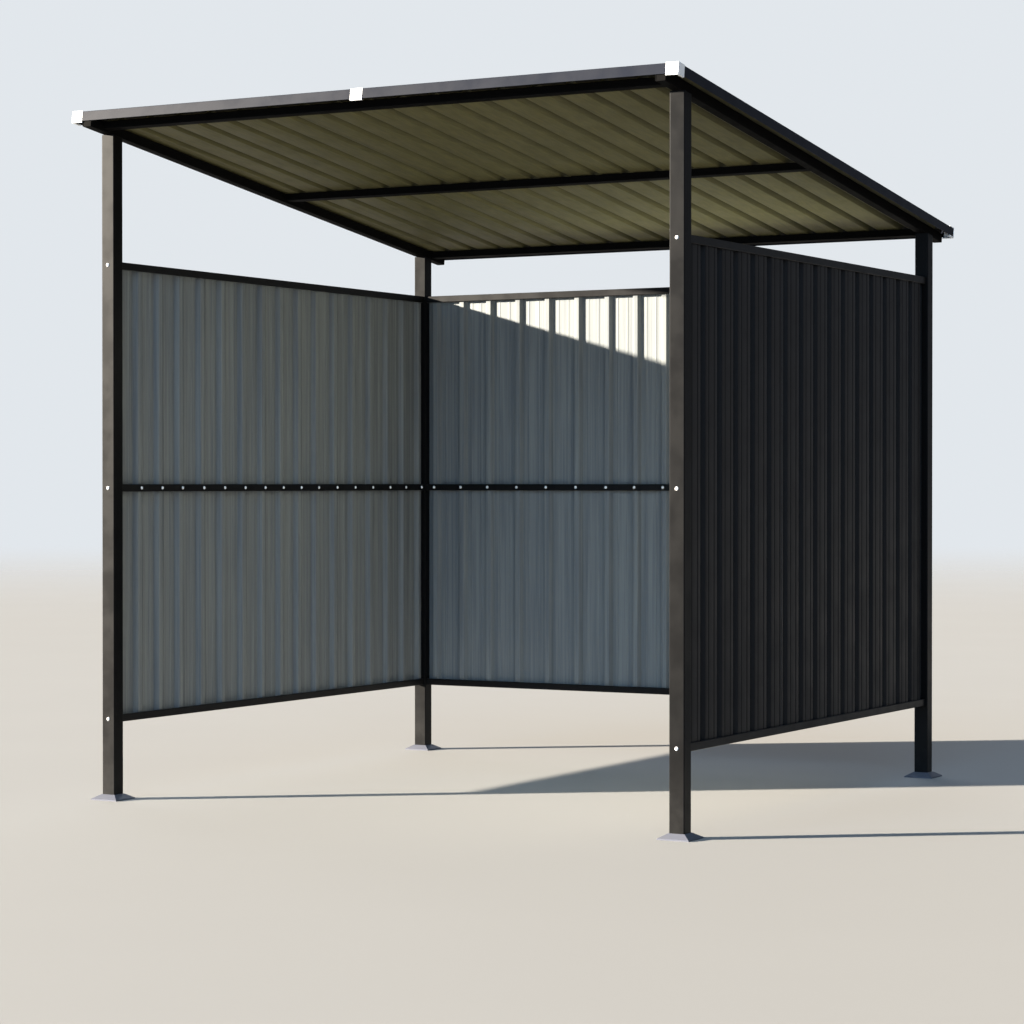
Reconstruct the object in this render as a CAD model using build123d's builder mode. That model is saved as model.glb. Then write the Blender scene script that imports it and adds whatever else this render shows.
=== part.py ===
"""Open fronted bicycle shelter: four steel posts, three sheeted walls and a roof that falls to the back.

Millimetres. +X is to the right seen from the open front, +Y runs from the open front to the back
wall and +Z is up. The origin is on the ground under the middle of the roof.
"""
from build123d import *
from itertools import cycle
from math import atan2, cos, degrees, hypot, radians, sin
import os

# Plan and heights of the frame
width_over_posts = 2600
depth_over_posts = 2505
front_post_height = 2684
roof_pitch = 7.45

# Posts, square tube on a welded foot plate
post_side = 60
post_wall = 2
post_radius = 3.5
post_top_plate = 3
foot_plate_length = 116
foot_plate_width = 76
foot_plate_thickness = 4
anchor_spacing = 92
anchor_hole = 11

# Pressed cover round the foot of each post
cover_side = 126
cover_lip = 4.5
cover_height = 22
cover_shoulder = 2
cover_wall = 1.5
cover_fit = 0.5

# Roof frame
rafter_width = 40
rafter_height = 40
rafter_wall = 2
rafter_radius = 3
rafter_end_gap = 3
rafter_plate = 2
rafter_plate_inset = 1.5
beam_width = 40
beam_height = 30
beam_wall = 1.5
beam_radius = 2.5
beam_reach = 56
middle_beam_setback = 28

# Profiled sheet: wide flats and narrow ribs, which point inward on the walls and up on the roof
sheet_thickness = 0.4
sheet_depth = 20
rib_mouth = 44
rib_foot = 23
swage_width = 9
swage_foot = 3
swage_depth = 1.5
wall_swage_shares = (1 / 3, 2 / 3)
lap_flat = 12
lap_clearance = 0.05
sheet_rib_count = 6

# Wall rails: lipped channels above and below, a flat tube at mid height
wall_top_gap = 182
middle_rail_height = 1275
bottom_rail_height = 342
rail_height = 30
rail_depth = 40
rail_wall = 1.5
rail_radius = 2.5
slot_clearance = 0.25
sheet_end_gap = 2

# Rib places along a wall: groups of three closer gaps and four wider ones
side_first_rib = 139
side_close_gap = 143
side_wide_gap = 153.5
back_first_rib = 43
back_close_gap = 146.5
back_wide_gap = 157.5

# Roof covering
roof_overhang_ends = 144
roof_overhang_sides = 42
roof_rib_gap = 145

# Folded edge flashings, white corner caps and joint clips
flashing_thickness = 1
flashing_drop = 38.5
flashing_cover = 40
flashing_radius = 2
flashing_joint = 4
cap_thickness = 1.5
cap_leg = 50
cap_overhang = 6
cap_lip = 8
cap_radius = 2
clip_width = 52

os.makedirs("parts", exist_ok=True)

# In a lapped rib the upper sheet nests in the lower one, lifted by what the rib's slope asks for
rib_slope = hypot((rib_mouth - rib_foot) / 2, sheet_depth - sheet_thickness) / ((rib_mouth - rib_foot) / 2)
lap_lift = sheet_thickness * rib_slope + lap_clearance

# The roof frame of reference lies on the underside of the rafters, tilted down to the back.
# Along it X is across, Y runs down the fall from the front edge and Z stands square to the roof.
fall_y, fall_z = cos(radians(roof_pitch)), -sin(radians(roof_pitch))
roof_width = width_over_posts + 2 * roof_overhang_sides
posts_along_fall = depth_over_posts / fall_y
roof_length = posts_along_fall + 2 * roof_overhang_ends
flashing_top = rafter_height + sheet_depth + lap_lift + flashing_thickness
flashing_foot = flashing_top - flashing_drop
cap_top = flashing_top + cap_thickness
cap_foot = flashing_foot - cap_overhang
roof_start_y = -(roof_length * fall_y - (cap_foot + cap_top) * fall_z) / 2
front_face_y = roof_start_y + roof_overhang_ends * fall_y
roof = Plane(
    origin=(0, roof_start_y, front_post_height - roof_overhang_ends * fall_z),
    x_dir=(1, 0, 0),
    z_dir=(0, -fall_z, fall_y),
)

post_x = (width_over_posts - post_side) / 2
front_post_y = front_face_y + post_side / 2
back_post_y = front_face_y + depth_over_posts - post_side / 2
back_post_height = front_post_height + posts_along_fall * fall_z
top_rail_height = back_post_height - wall_top_gap


def finish(part, name):
    """Labels a piece and writes it under its own name."""
    part.label = name
    export_step(part, f"parts/{name}.step")


def finish_pair(part, name):
    """Writes a piece of the left side and its mirror image on the right side."""
    finish(part, name)
    with BuildPart() as other:
        add(part)
        mirror(about=Plane.YZ, mode=Mode.REPLACE)
    finish(other.part, name.replace("left", "right"))


def tube_profile(width, height, wall, radius):
    """Draws the section of a rectangular tube in the open sketch."""
    RectangleRounded(width, height, radius)
    Rectangle(width - 2 * wall, height - 2 * wall, mode=Mode.SUBTRACT)


# Posts with foot plates, cut on top to the fall of the roof, and their foot covers
for place, post_y in (("front", front_post_y), ("back", back_post_y)):
    ground = Plane((-post_x, post_y, 0))
    with BuildPart() as hollow:
        with BuildSketch(ground.offset(foot_plate_thickness)):
            inside = post_side - 2 * post_wall
            RectangleRounded(inside, inside, post_radius - post_wall)
        extrude(amount=front_post_height)
        split(bisect_by=roof.offset(-post_top_plate), keep=Keep.BOTTOM)
    with BuildPart() as post:
        with BuildSketch(ground):
            Rectangle(foot_plate_length, foot_plate_width)
            with GridLocations(anchor_spacing, 0, 2, 1):
                Circle(anchor_hole / 2, mode=Mode.SUBTRACT)
        extrude(amount=foot_plate_thickness)
        with BuildSketch(ground):
            RectangleRounded(post_side, post_side, post_radius)
        extrude(amount=front_post_height)
        split(bisect_by=roof, keep=Keep.BOTTOM)
        add(hollow.part, mode=Mode.SUBTRACT)
    finish_pair(post.part, f"{place}_left_post")

    with BuildPart() as cover:
        with BuildSketch(ground):
            Rectangle(cover_side, cover_side)
        extrude(amount=cover_lip)
        with BuildSketch(ground.offset(cover_lip)):
            Rectangle(cover_side, cover_side)
        slope_run = (cover_side - post_side) / 2 - cover_fit - cover_shoulder
        slope_rise = cover_height - cover_lip
        extrude(amount=slope_rise, taper=degrees(atan2(slope_run, slope_rise)))
        offset(amount=-cover_wall, openings=faces().sort_by(Axis.Z)[0])
        with BuildSketch(ground):
            RectangleRounded(post_side + 2 * cover_fit, post_side + 2 * cover_fit, post_radius)
        extrude(amount=cover_height, mode=Mode.SUBTRACT)
    finish_pair(cover.part, f"{place}_left_foot_cover")

# Rafters on top of the posts, square cut, with a plate set into each end
rafter_start = cap_thickness + flashing_thickness + rafter_end_gap
rafter_length = roof_length - 2 * rafter_start
plate_inside = rafter_plate_inset + rafter_plate
with BuildPart() as rafter:
    section = Plane(
        origin=roof.from_local_coords((-post_x, rafter_start, rafter_height / 2)),
        x_dir=(1, 0, 0),
        z_dir=roof.y_dir,
    )
    with BuildSketch(section):
        RectangleRounded(rafter_width, rafter_height, rafter_radius)
    extrude(amount=rafter_length)
    for hollow_start, hollow_end in (
        (0, rafter_plate_inset),
        (plate_inside, rafter_length - plate_inside),
        (rafter_length - rafter_plate_inset, rafter_length),
    ):
        with BuildSketch(section.offset(hollow_start)):
            Rectangle(rafter_width - 2 * rafter_wall, rafter_height - 2 * rafter_wall)
        extrude(amount=hollow_end - hollow_start, mode=Mode.SUBTRACT)
finish_pair(rafter.part, "left_rafter")

# Cross beams between the rafters, with their tops in line with the rafters' tops
beam_length = 2 * post_x - rafter_width
beam_places = {
    "front": roof_overhang_ends - beam_reach + beam_width / 2,
    "middle": roof_overhang_ends + posts_along_fall / 2 + middle_beam_setback,
    "back": roof_overhang_ends + posts_along_fall + beam_reach - beam_width / 2,
}
for place, beam_y in beam_places.items():
    with BuildPart() as beam:
        section = Plane(
            origin=roof.from_local_coords((-beam_length / 2, beam_y, rafter_height - beam_height / 2)),
            x_dir=roof.y_dir,
            z_dir=(1, 0, 0),
        )
        with BuildSketch(section):
            tube_profile(beam_width, beam_height, beam_wall, beam_radius)
        extrude(amount=beam_length)
    finish(beam.part, f"{place}_cross_beam")


def ribs_along(first, close_gap, wide_gap, span):
    """Places the ribs of a wall, from the one before the first to the one past the far post."""
    places = [first - close_gap, first]
    for gap in cycle(2 * [close_gap] + 4 * [wide_gap] + [close_gap]):
        if places[-1] > span:
            return places
        places.append(places[-1] + gap)


def endless_profile(ribs, swage_shares):
    """Draws the section of a sheet over all the ribs, which point to -Y, with shallow swages in its flats."""
    line = []
    foot_level = sheet_thickness - sheet_depth
    for rib, following in zip(ribs, ribs[1:] + [None]):
        line += [(rib - rib_mouth / 2, 0), (rib - rib_foot / 2, foot_level)]
        line += [(rib + rib_foot / 2, foot_level), (rib + rib_mouth / 2, 0)]
        if following is None:
            break
        for share in swage_shares:
            swage = rib + share * (following - rib)
            line += [(swage - swage_width / 2, 0), (swage - swage_foot / 2, -swage_depth)]
            line += [(swage + swage_foot / 2, -swage_depth), (swage + swage_width / 2, 0)]
    with BuildSketch() as section:
        with BuildLine():
            Polyline(*line)
            offset(amount=sheet_thickness, side=Side.RIGHT, kind=Kind.INTERSECTION)
        make_face()
    return section.sketch


def cut_sheet(plane, profile, start, end, length):
    """Makes one sheet from the endless profile, cut at its two edges."""
    with BuildPart() as sheet:
        with BuildSketch(plane):
            add(profile)
            with Locations(((start + end) / 2, 0)):
                Rectangle(end - start, 4 * sheet_depth, mode=Mode.INTERSECT)
        extrude(amount=length)
    return sheet.part


def lapped_sheets(first_lap, second_lap, start, end):
    """Shares a width out to three sheets that lap over a rib: their edges and their lift."""
    reach = rib_mouth / 2 + lap_flat
    return [
        (start, first_lap + reach, 0),
        (first_lap - reach, second_lap + reach, lap_lift),
        (second_lap - reach, end, 0),
    ]


# Walls: the plane of each stands on the ground at its first post, with +Y to the outside
side_span = depth_over_posts - 2 * post_side
back_span = width_over_posts - 2 * post_side
walls = {
    "left_wall": (
        Plane((-post_x, front_post_y + post_side / 2, 0), x_dir=(0, 1, 0)),
        side_span,
        ribs_along(side_first_rib, side_close_gap, side_wide_gap, side_span),
        ("front", "middle", "back"),
    ),
    "back_wall": (
        Plane((-post_x + post_side / 2, back_post_y, 0), x_dir=(1, 0, 0)),
        back_span,
        ribs_along(back_first_rib, back_close_gap, back_wide_gap, back_span),
        ("left", "middle", "right"),
    ),
}
middle_rail_depth = (rail_depth - sheet_depth) / 2
slot_width = sheet_depth + lap_lift + 2 * slot_clearance
sheet_foot = bottom_rail_height - rail_height + rail_wall + sheet_end_gap
sheet_head = top_rail_height - rail_wall - sheet_end_gap

for wall, (stand, span, ribs, sheet_names) in walls.items():
    write = finish_pair if wall == "left_wall" else finish

    # Lipped channels along the top and bottom: the ends of the sheets stand in their slots
    for rail, height, slot_at in (("top", top_rail_height, -1), ("bottom", bottom_rail_height, 1)):
        with BuildPart() as channel:
            section = Plane(
                origin=stand.from_local_coords((0, 0, height - rail_height / 2)),
                x_dir=stand.y_dir,
                z_dir=stand.x_dir,
            )
            with BuildSketch(section):
                tube_profile(rail_depth, rail_height, rail_wall, rail_radius)
                with Locations((lap_lift / 2, slot_at * rail_height / 2)):
                    Rectangle(slot_width, 2 * rail_radius, mode=Mode.SUBTRACT)
            extrude(amount=span)
        write(channel.part, f"{wall}_{rail}_rail")

    # The middle rail is a flat tube that the ribs are screwed to
    with BuildPart() as middle:
        middle_y = -(rail_depth - middle_rail_depth) / 2
        section = Plane(
            origin=stand.from_local_coords((0, middle_y, middle_rail_height - rail_height / 2)),
            x_dir=stand.y_dir,
            z_dir=stand.x_dir,
        )
        with BuildSketch(section):
            tube_profile(middle_rail_depth, rail_height, rail_wall, rail_radius)
        extrude(amount=span)
    write(middle.part, f"{wall}_middle_rail")

    # Profiled sheets, the middle one lapped over the others on the outside
    profile = endless_profile(ribs, wall_swage_shares)
    sheets = lapped_sheets(ribs[sheet_rib_count], ribs[2 * sheet_rib_count], 0, span)
    for name, (start, end, lift) in zip(sheet_names, sheets):
        stand_in_slot = Plane(
            origin=stand.from_local_coords((0, sheet_depth / 2 + lift, sheet_foot)),
            x_dir=stand.x_dir,
        )
        sheet = cut_sheet(stand_in_slot, profile, start, end, sheet_head - sheet_foot)
        write(sheet, f"{wall}_sheet_{name}")

# Roof sheets without swages, their flats laid on the rafters and cross beams and their ribs up
roof_edge = roof_width / 2 - cap_thickness - flashing_thickness
roof_rib_count = int(roof_edge // roof_rib_gap) + 1
roof_ribs = [roof_rib_gap * n for n in range(-roof_rib_count, roof_rib_count + 1)]
roof_profile = endless_profile(roof_ribs, ())
roof_lap = roof_rib_gap * sheet_rib_count / 2
roof_sheets = lapped_sheets(-roof_lap, roof_lap, -roof_edge, roof_edge)
for name, (start, end, lift) in zip(("left", "middle", "right"), roof_sheets):
    laid = Plane(
        origin=roof.from_local_coords((0, rafter_start, rafter_height + lift)),
        x_dir=(1, 0, 0),
        z_dir=roof.y_dir,
    )
    sheet = cut_sheet(laid, roof_profile, start, end, rafter_length)
    finish(sheet, f"roof_sheet_{name}")


def folded_strip(thickness, radius, *corners):
    """Draws the section of a strip folded along its outer corners, its thickness to their right."""
    with BuildSketch() as section:
        with BuildLine():
            FilletPolyline(*corners, radius=radius)
            offset(amount=thickness, side=Side.RIGHT, kind=Kind.INTERSECTION)
        make_face()
    return section.sketch


# Edge flashings on all four sides: the side ones start at the front caps and run through to the back
flashing_corners = ((0, flashing_foot), (0, flashing_top), (flashing_cover, flashing_top))
flashing_profile = folded_strip(flashing_thickness, flashing_radius, *flashing_corners)
end_room = cap_leg - flashing_joint
side_flashing_end = roof_length - cap_thickness
with BuildPart() as side_flashing:
    section = Plane(
        origin=roof.from_local_coords((cap_thickness - roof_width / 2, side_flashing_end, 0)),
        x_dir=(1, 0, 0),
        z_dir=-roof.y_dir,
    )
    with BuildSketch(section):
        add(flashing_profile)
    extrude(amount=side_flashing_end - end_room)
finish_pair(side_flashing.part, "left_flashing")

half_length = roof_width / 2 - end_room - flashing_joint / 2
for place, edge_y, inward in (("front", cap_thickness, 1), ("back", roof_length - cap_thickness, -1)):
    with BuildPart() as flashing:
        start_x = -roof_width / 2 + end_room if inward > 0 else -flashing_joint / 2
        section = Plane(
            origin=roof.from_local_coords((start_x, edge_y, 0)),
            x_dir=inward * roof.y_dir,
            z_dir=(inward, 0, 0),
        )
        with BuildSketch(section):
            add(flashing_profile)
        extrude(amount=half_length)
    finish_pair(flashing.part, f"{place}_left_flashing")

# White corner caps over the ends of the flashings, hooked under them with a small lip. The back ones
# leave the side open where the side flashing runs through.
for place, corner_y, depth_align in (("front", 0, Align.MIN), ("back", roof_length, Align.MAX)):
    inward = 1 if depth_align == Align.MIN else -1
    corner = Plane(
        origin=roof.from_local_coords((-roof_width / 2, corner_y, cap_foot)),
        x_dir=roof.x_dir,
        z_dir=roof.z_dir,
    )
    with BuildPart() as cap:
        with BuildSketch(corner):
            Rectangle(cap_leg, cap_leg, align=(Align.MIN, depth_align))
        extrude(amount=cap_top - cap_foot)
        upright_edges = edges().filter_by(Axis(corner.origin, roof.z_dir))
        fillet(upright_edges.sort_by_distance(corner.origin)[0], cap_radius)
        with BuildSketch(corner):
            with Locations((cap_lip, inward * cap_lip)):
                Rectangle(cap_leg, cap_leg, align=(Align.MIN, depth_align))
        extrude(amount=cap_thickness, mode=Mode.SUBTRACT)
        with BuildSketch(corner.offset(cap_thickness)):
            with Locations((cap_thickness, inward * cap_thickness)):
                Rectangle(cap_leg, cap_leg, align=(Align.MIN, depth_align))
        extrude(amount=cap_top - cap_foot - 2 * cap_thickness, mode=Mode.SUBTRACT)
        if place == "back":
            with BuildSketch(corner.offset(cap_overhang)):
                with Locations((0, inward * cap_radius)):
                    Rectangle(cap_leg, cap_leg, align=(Align.MIN, depth_align))
            extrude(amount=flashing_drop, mode=Mode.SUBTRACT)
    finish_pair(cap.part, f"{place}_left_corner_cap")

# White clips where the two lengths of front and back flashing meet
clip_corners = ((cap_lip, cap_foot), (0, cap_foot), (0, cap_top), (cap_leg, cap_top))
clip_profile = folded_strip(cap_thickness, cap_radius, *clip_corners)
for place, edge_y, inward in (("front", 0, 1), ("back", roof_length, -1)):
    with BuildPart() as clip:
        section = Plane(
            origin=roof.from_local_coords((-inward * clip_width / 2, edge_y, 0)),
            x_dir=inward * roof.y_dir,
            z_dir=(inward, 0, 0),
        )
        with BuildSketch(section):
            add(clip_profile)
        extrude(amount=clip_width)
    finish(clip.part, f"{place}_joint_clip")
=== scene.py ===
"""Finishes, rolled sheets, screws and studio for the open fronted bicycle shelter.

Metres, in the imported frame: +X to the right seen from the open front, +Y from the open front to the back
wall and +Z up. The frame gives the steelwork and the roof's folded edges, which get their finishes here.
The profiled sheets are rolled again with round folds. Screws are set where the walls' ribs meet the middle
rails, where the rails run into the posts and where the roof's flats lie on the beams.
"""

from __future__ import annotations

import logging
import math
from dataclasses import dataclass
from enum import Enum
from itertools import cycle
from typing import Callable, Sequence, Union

import bpy
from mathutils import Euler, Matrix, Vector


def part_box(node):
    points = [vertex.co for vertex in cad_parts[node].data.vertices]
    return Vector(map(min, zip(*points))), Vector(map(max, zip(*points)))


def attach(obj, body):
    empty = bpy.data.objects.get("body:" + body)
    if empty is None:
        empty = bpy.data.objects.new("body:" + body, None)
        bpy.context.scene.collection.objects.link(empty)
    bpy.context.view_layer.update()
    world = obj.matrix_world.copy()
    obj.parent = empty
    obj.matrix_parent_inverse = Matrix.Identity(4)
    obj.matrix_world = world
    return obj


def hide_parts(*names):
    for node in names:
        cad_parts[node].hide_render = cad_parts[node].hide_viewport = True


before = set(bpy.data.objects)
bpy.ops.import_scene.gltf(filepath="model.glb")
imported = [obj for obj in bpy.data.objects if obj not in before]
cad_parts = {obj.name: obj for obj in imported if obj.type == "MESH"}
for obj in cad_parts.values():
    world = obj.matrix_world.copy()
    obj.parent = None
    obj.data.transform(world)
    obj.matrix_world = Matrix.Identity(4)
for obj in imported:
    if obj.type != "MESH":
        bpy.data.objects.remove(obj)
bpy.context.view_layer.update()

log = logging.getLogger("shelter")

Material = bpy.types.Material
Triple = tuple[float, float, float]
Colour = Triple
Paint = tuple[float, float, float, float]
Pair = tuple[float, float]
Seat = tuple[Vector, Vector]
Value = Union["Signal", float, Sequence[float]]
Step = tuple["Signal", "Signal"]

CORNERS = ("front_left", "front_right", "back_left", "back_right")
BEAMS = ("front", "middle", "back")
RAILS = ("top", "middle", "bottom")
UP = Vector((0.0, 0.0, 1.0))


def shade(colour: Colour, share: float = 1.0) -> Paint:
    """Lightens or darkens a colour by a share, and adds the alpha that a socket asks for."""
    red, green, blue = (share * part for part in colour)
    return red, green, blue, 1.0


class Graph:
    """A node tree under construction, for a shader, a world or a Geometry Nodes group."""

    def __init__(self, tree: bpy.types.NodeTree) -> None:
        """Wraps an empty tree."""
        self.tree = tree

    def node(self, kind: str, settings: dict | None = None, values: dict | None = None) -> bpy.types.Node:
        """Adds a node, with its settings first and then what its sockets hold.

        Args:
            kind: the node's type, such as ShaderNodeMath.
            settings: its properties by name.
            values: numbers, vectors, colours, other data or signals, by the socket's name or number.

        Returns:
            The new node.
        """
        node = self.tree.nodes.new(kind)
        for name, setting in (settings or {}).items():
            setattr(node, name, setting)
        for name, value in (values or {}).items():
            socket = node.inputs[name]
            if isinstance(value, Signal):
                self.tree.links.new(value.socket, socket)
            else:
                socket.default_value = value
        return node

    def signal(self, kind: str, settings: dict | None = None, values: dict | None = None,
               output: int | str = 0) -> Signal:
        """Adds a node as above, and returns the output of a name or number."""
        return Signal(self, self.node(kind, settings, values).outputs[output])

    def blend(self, factor: Value, first: Value, second: Value) -> Signal:
        """Blends two colours: a factor of 0 gives the first and 1 the second."""
        settings = {"data_type": "RGBA", "clamp_factor": True}
        return self.signal("ShaderNodeMix", settings, {0: factor, 6: first, 7: second}, output=2)

    def scaled(self, vector: Value, factors: Sequence[float]) -> Signal:
        """Stretches a vector along each axis by its own factor."""
        return self.signal("ShaderNodeVectorMath", {"operation": "MULTIPLY"}, {0: vector, 1: factors})

    def noise(self, vector: Value, scale: float, detail: float = 2.0, rough: float = 0.5) -> Signal:
        """Adds noise between 0 and 1: so many blots to a metre, with finer layers and their strength."""
        values = {"Vector": vector, "Scale": scale, "Detail": detail, "Roughness": rough}
        return self.signal("ShaderNodeTexNoise", None, values)

    def ramp(self, value: Value, low: float, high: float, to_low: float = 0.0) -> Signal:
        """Moves a value smoothly from to_low at low to 1 at high, and keeps it there outside."""
        settings = {"interpolation_type": "SMOOTHSTEP", "clamp": True}
        values = {"Value": value, "From Min": low, "From Max": high, "To Min": to_low, "To Max": 1.0}
        return self.signal("ShaderNodeMapRange", settings, values)


def _operator(operation: str, reflected: bool = False) -> Callable[[Signal, Value], Signal]:
    """Makes an operator of signals.

    Args:
        operation: what its Math node does. A comparison gives 1 where it is true, or else 0.
        reflected: whether the signal stands to the right of the other value.

    Returns:
        The method.
    """
    def method(self: Signal, other: Value) -> Signal:
        """Adds the Math node."""
        first, second = (other, self) if reflected else (self, other)
        return self.graph.signal("ShaderNodeMath", {"operation": operation}, {0: first, 1: second})

    return method


class Signal:
    """A socket that takes part in Python expressions: each operator adds its Math node."""

    def __init__(self, graph: Graph, socket: bpy.types.NodeSocket) -> None:
        """Wraps an output socket of the graph."""
        self.graph = graph
        self.socket = socket

    __add__, __radd__ = _operator("ADD"), _operator("ADD", reflected=True)
    __sub__, __rsub__ = _operator("SUBTRACT"), _operator("SUBTRACT", reflected=True)
    __mul__, __rmul__ = _operator("MULTIPLY"), _operator("MULTIPLY", reflected=True)
    __truediv__ = _operator("DIVIDE")
    __gt__, __lt__ = _operator("GREATER_THAN"), _operator("LESS_THAN")

    def __abs__(self) -> Signal:
        """The size of self without its sign."""
        return self.graph.signal("ShaderNodeMath", {"operation": "ABSOLUTE"}, {0: self})

    def parts(self) -> tuple[Signal, Signal, Signal]:
        """Splits a vector into its X, Y and Z."""
        node = self.graph.node("ShaderNodeSeparateXYZ", None, {0: self})
        x, y, z = (Signal(self.graph, output) for output in node.outputs)
        return x, y, z


class Grain(Enum):
    """The way in which a rolled sheet's faint lines run, as stretch factors of its pattern."""

    UPRIGHT = (90.0, 90.0, 1.3)
    DOWN_THE_FALL = (90.0, 1.3, 90.0)

    def eased(self, share: float, least: float = 0.0) -> Triple:
        """Takes a share of the stretch factors and adds the least stretch to each."""
        x, y, z = (share * part + least for part in self.value)
        return x, y, z


@dataclass(frozen=True)
class Patches:
    """Noise drawn apart into patches: its values where a patch starts and where it is full."""

    scale: float
    start: float
    full: float
    detail: float = 4.0
    rough: float = 0.6
    least: float = 0.0


class Dressing:
    """A material under construction: its graph, its coordinates and its shader."""

    BEVEL_SAMPLES = 6
    FLAT_COSINE = 0.995
    EDGE_COSINE = 0.86

    def __init__(self, name: str) -> None:
        """Starts a material with an empty tree."""
        self.material = bpy.data.materials.new(name)
        self.material.use_nodes = True
        self.material.node_tree.nodes.clear()
        self.graph = Graph(self.material.node_tree)
        self.place = self.graph.signal("ShaderNodeTexCoord", output="Object")
        self.facing = self.graph.signal("ShaderNodeNewGeometry", output="Normal")

    def patches(self, pattern: Patches, place: Signal | None = None) -> Signal:
        """Lays patches over a piece: 1 in a patch, falling to the pattern's least value outside."""
        noise = self.graph.noise(place or self.place, pattern.scale, pattern.detail, pattern.rough)
        return self.graph.ramp(noise, pattern.start, pattern.full, pattern.least)

    def edges(self, radius: float) -> Signal:
        """Finds the edges of a piece: 1 on an edge, falling to 0 at a radius from it."""
        rounded = self.graph.signal("ShaderNodeBevel", {"samples": self.BEVEL_SAMPLES}, {"Radius": radius})
        values = {0: rounded, 1: self.facing}
        same = self.graph.signal("ShaderNodeVectorMath", {"operation": "DOT_PRODUCT"}, values, "Value")
        return self.graph.ramp(same, self.FLAT_COSINE, self.EDGE_COSINE)

    def finish(self, colour: Value, roughness: Value, height: Value, constants: dict) -> Material:
        """Ends the material in a shader with a bump.

        Args:
            colour: the base colour.
            roughness: the roughness.
            height: the relief in metres.
            constants: the shader's other sockets, by name, which are the same all over.

        Returns:
            The finished material.
        """
        values = {"Strength": 1.0, "Distance": 1.0, "Height": height}
        bump = self.graph.signal("ShaderNodeBump", None, values)
        values = {"Base Color": colour, "Roughness": roughness, "Normal": bump, **constants}
        shader = self.graph.signal("ShaderNodeBsdfPrincipled", None, values)
        self.graph.node("ShaderNodeOutputMaterial", None, {"Surface": shader})
        return self.material


@dataclass(frozen=True)
class PowderCoat:
    """Satin powder coat on steel: orange peel, bright worn edges, dust on top and splashes low down."""

    name: str
    colour: Colour
    roughness: float = 0.30
    shine: float = 0.08
    edge_lift: float = 1.9
    edge_radius: float = 0.0018
    uneven: Pair = (0.80, 1.22)
    streak_stretch: Triple = (34.0, 34.0, 1.6)
    scuffs: Patches = Patches(46.0, 0.38, 0.72, rough=0.65, least=0.35)
    dust: Colour = (0.12, 0.115, 0.107)
    top_dust: float = 0.16
    splash_dust: float = 0.06
    splash_height: float = 0.34
    settling: Patches = Patches(24.0, 0.30, 0.75, detail=5.0, least=0.35)
    smudges: Patches = Patches(9.0, 0.35, 0.70)
    peel_depth: float = 0.000035
    wave_depth: float = 0.00003

    def make(self) -> Material:
        """Builds the material."""
        coat = Dressing(self.name)
        graph, place = coat.graph, coat.place
        cloud = graph.noise(place, scale=3.1, detail=3.0)
        streak = graph.noise(graph.scaled(place, self.streak_stretch), scale=1.0, detail=3.0)
        fine = graph.noise(place, scale=900.0, detail=1.0)
        deep, light = (shade(self.colour, share) for share in self.uneven)
        base = graph.blend(0.6 * cloud + 0.25 * streak + 0.15 * fine, deep, light)
        worn = coat.edges(self.edge_radius) * coat.patches(self.scuffs)
        base = graph.blend(worn, base, shade(self.colour, self.edge_lift))
        upward = graph.ramp(coat.facing.parts()[2], 0.55, 0.95)
        splash = graph.ramp(place.parts()[2], self.splash_height, 0.0)
        dusty = (upward * self.top_dust + splash * self.splash_dust) * coat.patches(self.settling)
        base = graph.blend(dusty, base, shade(self.dust))
        roughness = self.roughness - 0.05 * worn + 0.10 * coat.patches(self.smudges) + 0.9 * dusty
        peel = graph.noise(place, scale=520.0, rough=0.45)
        wave = graph.noise(place, scale=14.0, detail=1.0)
        height = self.peel_depth * peel + self.wave_depth * wave
        return coat.finish(base, roughness, height, {"Specular IOR Level": self.shine})


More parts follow.
